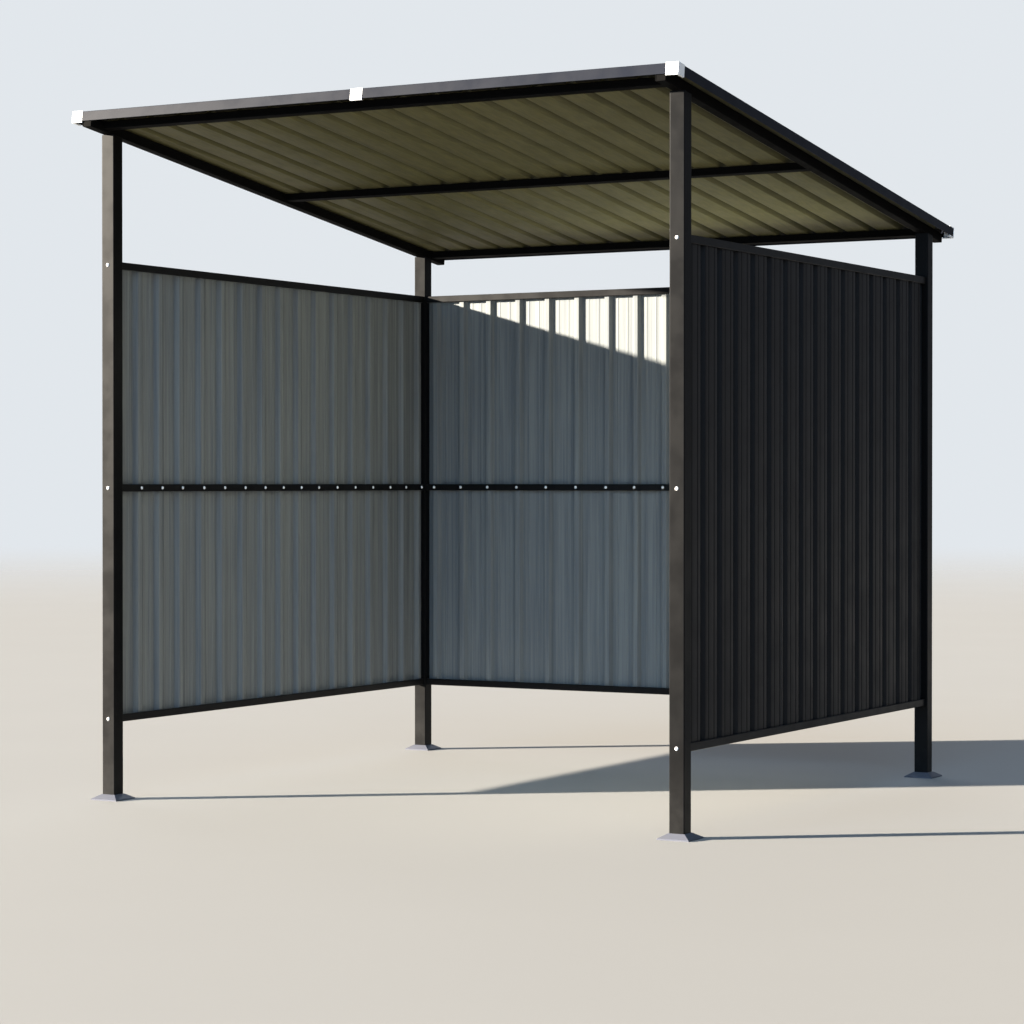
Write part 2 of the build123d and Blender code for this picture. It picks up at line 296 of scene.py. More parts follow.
@dataclass(frozen=True)
class CoilCoat:
    """Factory coat on rolled sheet: faint lines, slow waves, water marks and shade painted into the
    hollows.

    A sheet with a rim has shade painted in its stain colour outside the half width, the front and the back
    that it gives, where the roof's edges shade the lining.
    """

    name: str
    colour: Colour
    grain: Grain
    # the colour of water marks, and of the shade painted outside a rim
    stain_and_painted_shade: Colour = (0.035, 0.035, 0.035)
    roughness: float = 0.42
    shine: float = 0.085
    line_share: float = 0.30
    line_tint: Colour = (1.0, 0.95, 0.75)
    line_depth: float = 0.000012
    stain_share: float = 0.22
    stain_heights: Pair = (0.80, 0.30)
    marks: Patches = Patches(1.0, 0.52, 0.80, detail=5.0, rough=0.62)
    damp: Patches = Patches(1.7, 0.40, 0.75, detail=3.0, rough=0.5)
    smudges: Patches = Patches(7.0, 0.35, 0.70)
    # painted shade in the hollows: how far the occlusion looks, how much of it shows, how dark the coat
    # gets there and its samples
    painted_shade_reach: float = 0.03
    painted_shade_share: float = 0.35
    painted_shade_tone: float = 0.35
    painted_shade_samples: int = 6
    # the half width, front and back outside which shade is painted on the lining
    painted_shade_rim: Triple | None = None
    wave_scale: float = 1.15
    wave_depth: float = 0.00060
    peel_depth: float = 0.000010

    def make(self) -> Material:
        """Builds the material."""
        coat = Dressing(self.name)
        graph, place = coat.graph, coat.place
        lines = graph.noise(graph.scaled(place, self.grain.value), scale=1.0, detail=4.0, rough=0.6)
        cloud = graph.noise(place, scale=2.4, detail=3.0)
        fine = graph.noise(place, scale=760.0, detail=1.0)
        pattern = 0.6 * graph.ramp(lines, 0.28, 0.72) + 0.3 * cloud + 0.1 * fine
        deep, light = self._line_colour(-self.line_share), self._line_colour(self.line_share)
        base = graph.blend(pattern, deep, light)
        marks = coat.patches(self.marks, graph.scaled(place, self.grain.eased(0.35)))
        low_down = graph.ramp(place.parts()[2], *self.stain_heights)
        stained = marks * (0.35 * coat.patches(self.damp) + 0.65 * low_down) * self.stain_share
        base = graph.blend(stained, base, shade(self.stain_and_painted_shade))
        # painted shade: the coat is darkened in the hollows between ribs and swages, where shade falls
        base = graph.blend(self._painted_hollow_shade(graph), base, shade(self.colour, self.painted_shade_tone))
        # painted shade: outside the rim the coat is darkened to the stain colour, where the roof's edges
        # shade it
        if self.painted_shade_rim:
            base = graph.blend(self._painted_shade_outside(place), base, shade(self.stain_and_painted_shade))
        roughness = self.roughness + 0.07 * coat.patches(self.smudges) + 0.25 * stained + 0.05 * lines
        slow = graph.noise(graph.scaled(place, self.grain.eased(0.12, 1.0)), self.wave_scale, detail=1.0)
        peel = graph.noise(place, scale=640.0, detail=1.0)
        height = self.wave_depth * slow + self.line_depth * lines + self.peel_depth * peel
        return coat.finish(base, roughness, height, {"Specular IOR Level": self.shine})

    def _line_colour(self, share: float) -> Paint:
        """The colour of the lines that are lighter or darker by a share, which is less for blue."""
        red, green, blue = ((1.0 + share * tint) * part for part, tint in zip(self.colour, self.line_tint))
        return red, green, blue, 1.0

    def _painted_hollow_shade(self, graph: Graph) -> Signal:
        """Finds the hollows, where little light comes in, and how much shade is painted into them."""
        settings, values = {"samples": self.painted_shade_samples}, {"Distance": self.painted_shade_reach}
        open_share = graph.signal("ShaderNodeAmbientOcclusion", settings, values, "AO")
        return graph.ramp(open_share, 0.98, 0.70) * self.painted_shade_share

    def _painted_shade_outside(self, place: Signal) -> Signal:
        """Finds what lies outside the rim, where shade is painted: 1 there and 0 inside it."""
        half_width, front, back = self.painted_shade_rim
        x, y, _ = place.parts()
        return 1.0 - (abs(x) < half_width) * (y > front) * (y < back)


@dataclass(frozen=True)
class CutEdge:
    """The bare edge of a cut sheet: zinc that has gone dull, with the coat's colour drawn over it."""

    name: str
    zinc: Colour = (0.16, 0.163, 0.167)
    coat: Colour = (0.050, 0.050, 0.053)
    drawn: Patches = Patches(60.0, 0.35, 0.68)
    burr_depth: float = 0.00002

    def make(self) -> Material:
        """Builds the material."""
        edge = Dressing(self.name)
        drawn = edge.patches(self.drawn)
        base = edge.graph.blend(drawn, shade(self.zinc), shade(self.coat))
        burr = edge.graph.noise(edge.place, scale=1500.0)
        return edge.finish(base, 0.45 + 0.2 * drawn, self.burr_depth * burr, {"Metallic": 0.2})


@dataclass(frozen=True)
class WhiteTrim:
    """White moulded trim: a soft sheen, slight clouds, fine scratches and a little rain dirt."""

    name: str
    colour: Colour = (0.86, 0.87, 0.88)
    cloud_shade: float = 0.93
    dirt: Colour = (0.42, 0.42, 0.40)
    dirt_share: float = 0.14
    runs: Patches = Patches(1.0, 0.52, 0.80)
    run_stretch: Triple = (150.0, 150.0, 12.0)
    scratch_stretch: Triple = (30.0, 30.0, 900.0)
    roughness: float = 0.34
    grain_depth: float = 0.000015

    def make(self) -> Material:
        """Builds the material."""
        trim = Dressing(self.name)
        graph, place = trim.graph, trim.place
        cloud = graph.noise(place, scale=22.0, detail=3.0)
        base = graph.blend(cloud, shade(self.colour), shade(self.colour, self.cloud_shade))
        dirty = trim.patches(self.runs, graph.scaled(place, self.run_stretch)) * self.dirt_share
        base = graph.blend(dirty, base, shade(self.dirt))
        scratch = graph.noise(graph.scaled(place, self.scratch_stretch), scale=1.0)
        roughness = self.roughness + 0.5 * dirty + 0.06 * scratch
        height = self.grain_depth * graph.noise(place, scale=800.0)
        return trim.finish(base, roughness, height, {"Coat Weight": 0.15, "Coat Roughness": 0.2})


@dataclass(frozen=True)
class ScrewPaint:
    """Enamel on a screw's head, chipped to the zinc along its edges."""

    name: str
    colour: Colour
    cloud_shade: float = 0.88
    zinc: Colour = (0.50, 0.51, 0.52)
    roughness: float = 0.30
    wear: float = 0.5
    edge_radius: float = 0.0008
    chips: Patches = Patches(520.0, 0.60, 0.72, rough=0.7)
    grain_depth: float = 0.00002
    chip_depth: float = 0.00004

    def make(self) -> Material:
        """Builds the material."""
        paint = Dressing(self.name)
        graph, place = paint.graph, paint.place
        cloud = graph.noise(place, scale=130.0, detail=3.0)
        base = graph.blend(cloud, shade(self.colour), shade(self.colour, self.cloud_shade))
        worn = paint.edges(self.edge_radius) * paint.patches(self.chips) * self.wear
        base = graph.blend(worn, base, shade(self.zinc))
        grain = graph.noise(place, scale=1200.0, detail=1.0)
        height = self.grain_depth * grain - self.chip_depth * worn
        return paint.finish(base, self.roughness + 0.15 * cloud, height, {"Coat Weight": 0.2})


@dataclass(frozen=True)
class Finishes:
    """Every material of the shelter, made once."""

    post: Material
    roof_frame: Material
    rail: Material
    foot_cover: Material
    flashing: Material
    trim: Material
    wall_weather: Material
    wall_inside: Material
    roof_weather: Material
    roof_inside: Material
    cut_edge: Material
    white_screw: Material
    dark_screw: Material

    @classmethod
    def mix(cls) -> Finishes:
        """Mixes all the finishes."""
        # where the painted shade on the roof lining begins: the rafters' outer faces and the front and
        # back beams
        half_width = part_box("right_rafter")[1].x
        front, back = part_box("front_cross_beam")[0].y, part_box("back_cross_beam")[1].y
        return cls(
            post=PowderCoat("anthracite_post_coat", (0.0048, 0.0047, 0.0048), shine=0.055).make(),
            roof_frame=PowderCoat(
                "matt_roof_frame_coat", (0.0043, 0.0041, 0.0040),
                roughness=0.55, shine=0.010, edge_lift=1.3,
            ).make(),
            rail=PowderCoat("anthracite_rail_coat", (0.0075, 0.0073, 0.0075)).make(),
            foot_cover=PowderCoat("foot_cover_coat", (0.086, 0.091, 0.114), roughness=0.36).make(),
            flashing=PowderCoat(
                "grey_flashing_coat", (0.0071, 0.0087, 0.0143), roughness=0.32, shine=0.054,
            ).make(),
            trim=WhiteTrim("white_trim_coat").make(),
            wall_weather=CoilCoat(
                "anthracite_wall_coat", (0.0058, 0.0057, 0.0066), Grain.UPRIGHT,
                roughness=0.38, shine=0.13,
            ).make(),
            wall_inside=CoilCoat(
                "light_grey_wall_coat", (0.170, 0.182, 0.184), Grain.UPRIGHT,
                stain_and_painted_shade=(0.078, 0.075, 0.068), roughness=0.48,
            ).make(),
            roof_weather=CoilCoat(
                "anthracite_roof_coat", (0.0112, 0.0096, 0.0084), Grain.DOWN_THE_FALL,
            ).make(),
            # painted shade and painted greenish bounce light: the lining's own light grey reverse coat,
            # the same as the walls' inner side, is darkened and tinted olive
            roof_inside=CoilCoat(
                "olive_roof_lining_coat_with_painted_shade", (0.092, 0.084, 0.038), Grain.DOWN_THE_FALL,
                stain_and_painted_shade=(0.012, 0.011, 0.009), roughness=0.50, stain_share=0.08, painted_shade_share=0.80,
                painted_shade_rim=(half_width, front, back),
            ).make(),
            cut_edge=CutEdge("cut_sheet_edge").make(),
            white_screw=ScrewPaint("white_screw_enamel", (0.95, 0.95, 0.94)).make(),
            dark_screw=ScrewPaint("dark_screw_enamel", (0.018, 0.0185, 0.020), wear=0.7).make(),
        )


def dress(nodes: Sequence[str], material: Material) -> None:
    """Gives nodes of the frame a material.

    Args:
        nodes: their names.
        material: what each of their slots gets.
    """
    for name in nodes:
        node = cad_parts[name]
        if not node.material_slots:
            node.data.materials.append(material)
        for slot in node.material_slots:
            slot.material = material
        log.info("%s dressed in %s", name, material.name)


class Builder:
    """A Geometry Nodes tree with named inputs, run once on a host and turned into a plain mesh."""

    def __init__(self, name: str) -> None:
        """Starts a tree with a geometry input and output."""
        self.group = bpy.data.node_groups.new(name, "GeometryNodeTree")
        self.graph = Graph(self.group)
        self.group.interface.new_socket("Geometry", in_out="INPUT", socket_type="NodeSocketGeometry")
        self.group.interface.new_socket("Geometry", in_out="OUTPUT", socket_type="NodeSocketGeometry")
        self.entry = self.graph.node("NodeGroupInput")
        self.start = Signal(self.graph, self.entry.outputs[0])
        self.values: dict[str, object] = {}

    def size(self, name: str, value: object, kind: str = "NodeSocketFloat") -> Signal:
        """Adds a named input of a kind, and the value that it is set to."""
        socket = self.group.interface.new_socket(name, in_out="INPUT", socket_type=kind)
        self.values[socket.identifier] = value
        return Signal(self.graph, self.entry.outputs[name])

    def raised(self, geometry: Signal, height: Signal) -> Signal:
        """Lifts a shape by half its height, so that it stands on its own ground."""
        rise = self.graph.signal("ShaderNodeCombineXYZ", None, {2: height * 0.5})
        values = {"Geometry": geometry, "Translation": rise}
        return self.graph.signal("GeometryNodeTransform", None, values)

    def creased(self, geometry: Signal, angle: float) -> Signal:
        """Shades a shape smoothly, except across edges that turn by more than an angle in degrees."""
        kind = "GeometryNodeSetShadeSmooth"
        sharp = self.graph.signal("GeometryNodeInputMeshEdgeAngle") > math.radians(angle)
        smooth = self.graph.signal(kind, {"domain": "FACE"}, {0: geometry, "Shade Smooth": True})
        return self.graph.signal(kind, {"domain": "EDGE"}, {0: smooth, 1: sharp, "Shade Smooth": False})

    def finish(self, geometry: Signal, paints: Sequence[tuple[Signal, Signal | bool]]) -> None:
        """Realizes a shape, paints it and links it to the output.

        Args:
            geometry: the shape.
            paints: the materials in their order, each with the faces that it covers.
        """
        whole = self.graph.signal("GeometryNodeRealizeInstances", None, {0: geometry})
        for paint, faces in paints:
            values = {0: whole, 1: faces, "Material": paint}
            whole = self.graph.signal("GeometryNodeSetMaterial", None, values)
        self.graph.node("NodeGroupOutput", None, {0: whole})

    def run(self, host: bpy.types.Object, place: Matrix) -> bpy.types.Object:
        """Runs the tree on a host and keeps the result as a plain mesh in place of it.

        Args:
            host: the object with the points or lines that the tree starts from.
            place: where the result goes.

        Returns:
            The host with its final mesh, standing at the origin.
        """
        modifier = host.modifiers.new(self.group.name, "NODES")
        modifier.node_group = self.group
        for identifier, value in self.values.items():
            modifier[identifier] = value
        bpy.context.view_layer.update()
        evaluated = host.evaluated_get(bpy.context.evaluated_depsgraph_get())
        mesh = bpy.data.meshes.new_from_object(evaluated)
        mesh.name = host.name
        host.modifiers.remove(modifier)
        host.data = mesh
        mesh.transform(place)
        return host


def put_in_scene(name: str, data: bpy.types.ID) -> bpy.types.Object:
    """Makes an object of a mesh, a light or a camera and links it to the scene."""
    thing = bpy.data.objects.new(name, data)
    bpy.context.scene.collection.objects.link(thing)
    return thing


@dataclass(frozen=True)
class SheetProfile:
    """The rolled section: wide flats and narrow ribs, which point inward unless told otherwise."""

    thickness: float = 0.0004
    depth: float = 0.020
    mouth: float = 0.044
    foot: float = 0.023
    swage_width: float = 0.009
    swage_foot: float = 0.003
    swage_depth: float = 0.0015
    lap_flat: float = 0.012
    lap_clearance: float = 0.00005
    fold_radius: float = 0.0016
    swage_shares: tuple[float, ...] = (1 / 3, 2 / 3)
    ribs_outward: bool = False

    @property
    def lap_lift(self) -> float:
        """How far a lapping sheet is lifted, so that its rib nests in the rib below."""
        run = (self.mouth - self.foot) / 2
        slope = math.hypot(run, self.depth - self.thickness) / run
        return self.thickness * slope + self.lap_clearance

    @property
    def lap_reach(self) -> float:
        """How far a lapping sheet goes past the middle of the lapped rib."""
        return self.mouth / 2 + self.lap_flat

    def folds(self, ribs: Sequence[float], start: float, end: float) -> list[Pair]:
        """Lists the folds of a sheet at half its thickness, with its two cut edges.

        Args:
            ribs: the middles of all the ribs along the sheet's line.
            start: where the sheet begins.
            end: where it ends.

        Returns:
            Points along the sheet and outward from its inner face.
        """
        low, high = self.thickness / 2, self.depth - self.thickness / 2
        if self.ribs_outward:
            low, high = high, low
        line: list[Pair] = []
        for rib, following in zip(ribs, ribs[1:]):
            line += self._dip(rib, self.mouth, self.foot, high, low)
            for share in self.swage_shares:
                swage = rib + share * (following - rib)
                line += self._dip(swage, self.swage_width, self.swage_foot, high, high - self.swage_depth)
        kept = [point for point in line if start < point[0] < end]
        return [self._cut(line, start), *kept, self._cut(line, end)]

    @staticmethod
    def _dip(middle: float, mouth: float, foot: float, level: float, floor: float) -> list[Pair]:
        """Lists the four folds of a rib or a swage, from its level to its floor and back."""
        corners = ((-mouth, level), (-foot, floor), (foot, floor), (mouth, level))
        return [(middle + width / 2, height) for width, height in corners]

    @staticmethod
    def _cut(line: Sequence[Pair], at: float) -> Pair:
        """Finds where a cut meets the line of the section."""
        for (x0, y0), (x1, y1) in zip(line, line[1:]):
            if x0 <= at <= x1:
                return at, y0 + (y1 - y0) * (at - x0) / (x1 - x0)
        return at, line[-1][1]


@dataclass
class RolledSheet:
    """One profiled sheet, swept from its folds with round bends and dressed on both sides."""

    node: str
    folds: list[Pair]
    length: float
    place: Matrix
    profile: SheetProfile
    coats: tuple[Material, Material, Material]
    slot: str
    bend_steps: int = 3
    crease_angle: float = 50.0
    side_share: float = 0.2

    def build(self) -> None:
        """Sweeps the sheet, puts it in its place and lets it stand for its node."""
        name = f"{self.node}_rolled"
        mesh = bpy.data.meshes.new(f"{name}_folds")
        edges = [(n, n + 1) for n in range(len(self.folds) - 1)]
        mesh.from_pydata([(x, y, 0.0) for x, y in self.folds], edges, [])
        piece = self._tree(name).run(put_in_scene(name, mesh), self.place)
        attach(piece, "root")
        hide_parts(self.node)
        log.info("%s rolled with %d faces", name, len(piece.data.polygons))

    def _tree(self, name: str) -> Builder:
        """Builds the tree that sweeps the section and paints its sides."""
        tree = Builder(f"{name}_rolling")
        graph = tree.graph
        length = tree.size("Length", self.length)
        thickness = tree.size("Thickness", self.profile.thickness)
        radius = tree.size("Fold Radius", self.profile.fold_radius)
        steps = tree.size("Bend Steps", self.bend_steps, "NodeSocketInt")
        named = zip(("Weather Side", "Inner Side", "Cut Edges"), self.coats)
        weather, inside, edge = (tree.size(side, coat, "NodeSocketMaterial") for side, coat in named)
        line = graph.signal("GeometryNodeMeshToCurve", None, {0: tree.start})
        values = {"Curve": line, "Count": steps, "Radius": radius, "Limit Radius": True}
        bent = graph.signal("GeometryNodeFilletCurve", {"mode": "POLY"}, values)
        upright = graph.signal("GeometryNodeSetCurveNormal", {"mode": "Z_UP"}, {"Curve": bent})
        values = {"Width": thickness, "Height": length}
        section = graph.signal("GeometryNodeCurvePrimitiveQuadrilateral", {"mode": "RECTANGLE"}, values)
        values = {"Curve": upright, "Profile Curve": section, "Fill Caps": True}
        swept = graph.signal("GeometryNodeCurveToMesh", None, values)
        sheet = tree.creased(tree.raised(swept, length), self.crease_angle)
        outward = graph.signal("GeometryNodeInputNormal").parts()[1]
        sides = [(weather, outward > self.side_share), (inside, outward < -self.side_share)]
        tree.finish(sheet, [(edge, True), *sides])
        return tree


@dataclass
class RibPattern:
    """Where the ribs of a wall stand, measured from the face of its first post."""

    first: float
    close_gap: float
    wide_gap: float
    span: float

    def places(self) -> list[float]:
        """Lists the ribs, from the one before the first to the one past the far post."""
        found = [self.first - self.close_gap, self.first]
        for gap in cycle(2 * [self.close_gap] + 4 * [self.wide_gap] + [self.close_gap]):
            if found[-1] > self.span:
                break
            found.append(found[-1] + gap)
        return found

    def inside(self) -> list[float]:
        """Lists the ribs that stand between the posts."""
        return [rib for rib in self.places() if 0.0 < rib < self.span]


@dataclass
class ScrewHeads:
    """Domed screw heads with washers, set at points that each face their own way."""

    name: str
    seats: list[Seat]
    finish: Material
    slot: str
    head_radius: float = 0.0062
    head_height: float = 0.0034
    washer_radius: float = 0.0068
    washer_height: float = 0.0009
    recess_radius: float = 0.0026
    recess_depth: float = 0.0020
    recess_taper: float = 0.9
    dome_share: float = 0.92
    dome_rings: int = 3
    sides: int = 14
    crease_angle: float = 40.0
    seed: int = 7

    def build(self) -> None:
        """Sets all the heads as one piece."""
        mesh = bpy.data.meshes.new(f"{self.name}_seats")
        mesh.from_pydata([seat for seat, _ in self.seats], [], [])
        facing = mesh.attributes.new("facing", "FLOAT_VECTOR", "POINT")
        facing.data.foreach_set("vector", [part for _, way in self.seats for part in way])
        piece = self._tree().run(put_in_scene(self.name, mesh), Matrix.Identity(4))
        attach(piece, "root")
        log.info("%s: %d heads, %d faces", self.name, len(self.seats), len(piece.data.polygons))

    @staticmethod
    def _ring(graph: Graph, step: Step, rise: Value, shrink: Value) -> Step:
        """Draws the top face up and shrinks it.

        Args:
            graph: the tree.
            step: the mesh so far, and which face is its top.
            rise: how far the face goes up.
            shrink: the share of its width that is left.

        Returns:
            The mesh and its new top face.
        """
        body, top = step
        values = {"Mesh": body, "Selection": top, "Offset Scale": rise}
        drawn = graph.node("GeometryNodeExtrudeMesh", {"mode": "FACES"}, values)
        body, top = Signal(graph, drawn.outputs["Mesh"]), Signal(graph, drawn.outputs["Top"])
        values = {"Geometry": body, "Selection": top, "Scale": shrink}
        return graph.signal("GeometryNodeScaleElements", {"domain": "FACE"}, values), top

    def _tree(self) -> Builder:
        """Builds the tree that shapes a head and sets it on every point."""
        tree = Builder(f"{self.name}_setting")
        graph = tree.graph
        head_radius = tree.size("Head Radius", self.head_radius)
        head_height = tree.size("Head Height", self.head_height)
        washer_radius = tree.size("Washer Radius", self.washer_radius)
        washer_height = tree.size("Washer Height", self.washer_height)
        recess_radius = tree.size("Recess Radius", self.recess_radius)
        recess_depth = tree.size("Recess Depth", self.recess_depth)
        sides = tree.size("Sides", self.sides, "NodeSocketInt")
        seed = tree.size("Seed", self.seed, "NodeSocketInt")
        paint = tree.size("Paint", self.finish, "NodeSocketMaterial")
        values = {"Vertices": sides, "Radius": washer_radius, "Depth": washer_height}
        washer = graph.node("GeometryNodeMeshCylinder", {"fill_type": "NGON"}, values)
        step = (Signal(graph, washer.outputs["Mesh"]), Signal(graph, washer.outputs["Top"]))
        step = self._ring(graph, step, 0.0, head_radius / washer_radius)
        width, height = 1.0, 0.0
        crown = math.acos(self.recess_radius / self.head_radius) * self.dome_share
        for ring in range(1, self.dome_rings + 1):
            angle = crown * ring / self.dome_rings
            new_width, new_height = math.cos(angle), math.sin(angle) / math.sin(crown)
            step = self._ring(graph, step, head_height * (new_height - height), new_width / width)
            width, height = new_width, new_height
        step = self._ring(graph, step, 0.0, recess_radius / (head_radius * width))
        step = self._ring(graph, step, recess_depth * -1.0, self.recess_taper)
        head = tree.creased(tree.raised(step[0], washer_height), self.crease_angle)
        values = {2: 0.0, 3: math.tau, "Seed": seed}
        spin = graph.signal("FunctionNodeRandomValue", {"data_type": "FLOAT"}, values, output=1)
        turn = graph.signal("FunctionNodeAxisAngleToRotation", None, {"Axis": UP, "Angle": spin})
        settings = {"data_type": "FLOAT_VECTOR"}
        facing = graph.signal("GeometryNodeInputNamedAttribute", settings, {"Name": "facing"})
        aimed = graph.signal("FunctionNodeAlignRotationToVector", {"axis": "Z"}, {"Vector": facing})
        values = {"Rotation": aimed, "Rotate By": turn}
        turned = graph.signal("FunctionNodeRotateRotation", {"rotation_space": "LOCAL"}, values)
        values = {"Points": tree.start, "Instance": head, "Rotation": turned}
        heads = graph.signal("GeometryNodeInstanceOnPoints", None, values)
        tree.finish(heads, [(paint, True)])
        return tree


class Side(Enum):
    """The three walls."""

    LEFT = "left_wall"
    RIGHT = "right_wall"
    BACK = "back_wall"

    def ways(self) -> tuple[Vector, Vector]:
        """The way along the wall's sheets and the way out of it."""
        outward = {Side.LEFT: (-1.0, 0.0, 0.0), Side.RIGHT: (1.0, 0.0, 0.0), Side.BACK: (0.0, 1.0, 0.0)}
        way = Vector(outward[self])
        return way.cross(UP), way


@dataclass
class Wall:
    """A sheeted wall between two posts: its rails, its three lapped sheets and the screws of its ribs."""

    side: Side
    finishes: Finishes
    profile: SheetProfile
    pattern: RibPattern
    sheet_rib_count: int = 6

    @property
    def names(self) -> list[str]:
        """The wall's sheets from its first post on."""
        ends = ("left", "middle", "right") if self.side is Side.BACK else ("front", "middle", "back")
        return [f"{self.side.value}_sheet_{end}" for end in ends]

    def build(self) -> None:
        """Dresses the rails, rolls the sheets and sets the screws."""
        dress([f"{self.side.value}_{rail}_rail" for rail in RAILS], self.finishes.rail)
        ribs = self.pattern.places()
        first_lap, second_lap = ribs[self.sheet_rib_count], ribs[2 * self.sheet_rib_count]
        reach, span = self.profile.lap_reach, self.pattern.span
        cuts = [
            (0.0, first_lap + reach, 0.0),
            (first_lap - reach, second_lap + reach, self.profile.lap_lift),
            (second_lap - reach, span, 0.0),
        ]
        coats = (self.finishes.wall_weather, self.finishes.wall_inside, self.finishes.cut_edge)
        low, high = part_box(self.names[0])
        for node, (start, end, lift) in zip(self.names, cuts):
            folds = self.profile.folds(ribs, start, end)
            if self.side is Side.RIGHT:
                folds = [(span - along, depth) for along, depth in reversed(folds)]
            RolledSheet(
                node=node,
                folds=folds,
                length=high.z - low.z,
                place=self._place(low.z, lift),
                profile=self.profile,
                coats=coats,
                slot="wall_sheet",
            ).build()
        self._set_screws()

    def _place(self, foot: float, lift: float) -> Matrix:
        """Places a sheet: its own +X goes along the wall, its +Y outward and its +Z up.

        Args:
            foot: the height of the sheets' lower edge.
            lift: how far the sheet is moved outward where it laps.

        Returns:
            The matrix from the sheet's own place to the shelter.
        """
        low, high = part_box(f"{self.side.value}_top_rail")
        along, outward = self.side.ways()
        origin = (low + high - along * self.pattern.span) / 2 + outward * (lift - self.profile.depth / 2)
        origin.z = foot
        return Matrix.Translation(origin) @ Matrix((along, outward, UP)).transposed().to_4x4()

    def _set_screws(self) -> None:
        """Sets a screw on the middle rail's inner face at each rib."""
        low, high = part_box(f"{self.side.value}_middle_rail")
        along, outward = self.side.ways()
        face = high.x if self.side is Side.LEFT else low.x
        start = Vector((face, low.y, (low.z + high.z) / 2))
        away = Vector(map(abs, along))
        seats = [(start + away * rib, -outward) for rib in self.pattern.inside()]
        ScrewHeads(f"{self.side.value}_rib_screws", seats, self.finishes.white_screw, "white_trim").build()


@dataclass
class Roof:
    """The roof: three lapped sheets that fall to the back, their screws, flashings, caps and clips."""

    finishes: Finishes
    profile: SheetProfile
    pitch: float = 7.45
    rib_gap: float = 0.145
    sheet_rib_count: int = 6

    def build(self) -> None:
        """Rolls the sheets, sets their screws and dresses the edges."""
        low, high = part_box("roof_sheet_left")[0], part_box("roof_sheet_right")[1]
        edge = (high.x - low.x) / 2
        count = int(edge // self.rib_gap) + 1
        ribs = [self.rib_gap * n for n in range(-count, count + 1)]
        lap, reach = self.rib_gap * self.sheet_rib_count / 2, self.profile.lap_reach
        cuts = {
            "left": (-edge, reach - lap, 0.0),
            "middle": (-lap - reach, lap + reach, self.profile.lap_lift),
            "right": (lap - reach, edge, 0.0),
        }
        coats = (self.finishes.roof_weather, self.finishes.roof_inside, self.finishes.cut_edge)
        for name, (start, end, lift) in cuts.items():
            RolledSheet(
                node=f"roof_sheet_{name}",
                folds=self.profile.folds(ribs, start, end),
                length=self._length(),
                place=self._plane() @ Matrix.Translation((0.0, lift, 0.0)),
                profile=self.profile,
                coats=coats,
                slot="roof_sheet",
            ).build()
        flats = [rib + self.rib_gap / 2 for rib in ribs if abs(rib + self.rib_gap / 2) < edge]
        self._set_screws([(flat, self.profile.lap_lift if abs(flat) < lap else 0.0) for flat in flats])
        dress([f"{name}_flashing" for name in ("left", "right", *CORNERS)], self.finishes.flashing)
        dress([f"{corner}_corner_cap" for corner in CORNERS], self.finishes.trim)
        dress(["front_joint_clip", "back_joint_clip"], self.finishes.trim)

    def _length(self) -> float:
        """The sheets' length along the fall."""
        low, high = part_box("roof_sheet_left")
        fall, depth = math.radians(self.pitch), self.profile.depth
        return ((high.y - low.y) - depth * math.sin(fall)) / math.cos(fall)

    def _plane(self) -> Matrix:
        """The sheets' place: +X across, +Y square to the roof and +Z up the fall from their lower end."""
        low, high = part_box("roof_sheet_left")
        fall = math.radians(self.pitch)
        normal = Vector((0.0, math.sin(fall), math.cos(fall)))
        uphill = Vector((0.0, -math.cos(fall), math.sin(fall)))
        origin = Vector((0.0, high.y - self.profile.depth * math.sin(fall), low.z))
        axes = Matrix((Vector((1.0, 0.0, 0.0)), normal, uphill)).transposed()
        return Matrix.Translation(origin) @ axes.to_4x4()

    def _set_screws(self, flats: Sequence[Pair]) -> None:
        """Sets a screw into each cross beam through each flat, given by its middle and its lift."""
        plane = self._plane()
        _, normal, uphill = plane.to_3x3().col
        seats = []
        for beam in BEAMS:
            low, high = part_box(f"{beam}_cross_beam")
            along = ((low + high) / 2 - plane.translation).dot(uphill)
            for flat, lift in flats:
                seats.append((plane @ Vector((flat, self.profile.thickness + lift, along)), normal))
        ScrewHeads("roof_screws", seats, self.finishes.dark_screw, "roof_sheet").build()


@dataclass
class Steelwork:
    """Posts, rafters, cross beams and foot covers, with the screws that hold the rails to the posts."""

    finishes: Finishes

    def build(self) -> None:
        """Dresses the steelwork and sets the post screws."""
        dress([f"{corner}_post" for corner in CORNERS], self.finishes.post)
        dress(["left_rafter", "right_rafter"], self.finishes.roof_frame)
        dress([f"{beam}_cross_beam" for beam in BEAMS], self.finishes.roof_frame)
        dress([f"{corner}_foot_cover" for corner in CORNERS], self.finishes.foot_cover)
        self._set_screws()

    def _set_screws(self) -> None:
        """Sets screws on each post's front or back face, one for each rail that runs into the post."""
        seats = []
        for corner in CORNERS:
            row, side = corner.split("_")
            low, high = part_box(f"{corner}_foot_cover")
            middle = (low + high) / 2
            rail_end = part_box(f"{side}_wall_top_rail")[0 if row == "front" else 1].y
            toward = -1.0 if row == "front" else 1.0
            face = rail_end + toward * 2 * abs(rail_end - middle.y)
            for rail in RAILS:
                rail_low, rail_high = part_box(f"{side}_wall_{rail}_rail")
                height = (rail_low.z + rail_high.z) / 2
                seats.append((Vector((middle.x, face, height)), Vector((0.0, toward, 0.0))))
        ScrewHeads("post_screws", seats, self.finishes.white_screw, "white_trim").build()


@dataclass(frozen=True)
class Lamp:
    """A far light: the way in which it shines, its strength and how wide it looks, in degrees."""

    name: str
    way: Triple
    strength: float
    colour: Colour
    softness: float

    def hang(self) -> None:
        """Adds the light to the scene."""
        data = bpy.data.lights.new(self.name, "SUN")
        data.energy = self.strength
        data.color = self.colour
        data.angle = math.radians(self.softness)
        put_in_scene(self.name, data).rotation_euler = Vector(self.way).to_track_quat("-Z", "Y").to_euler()


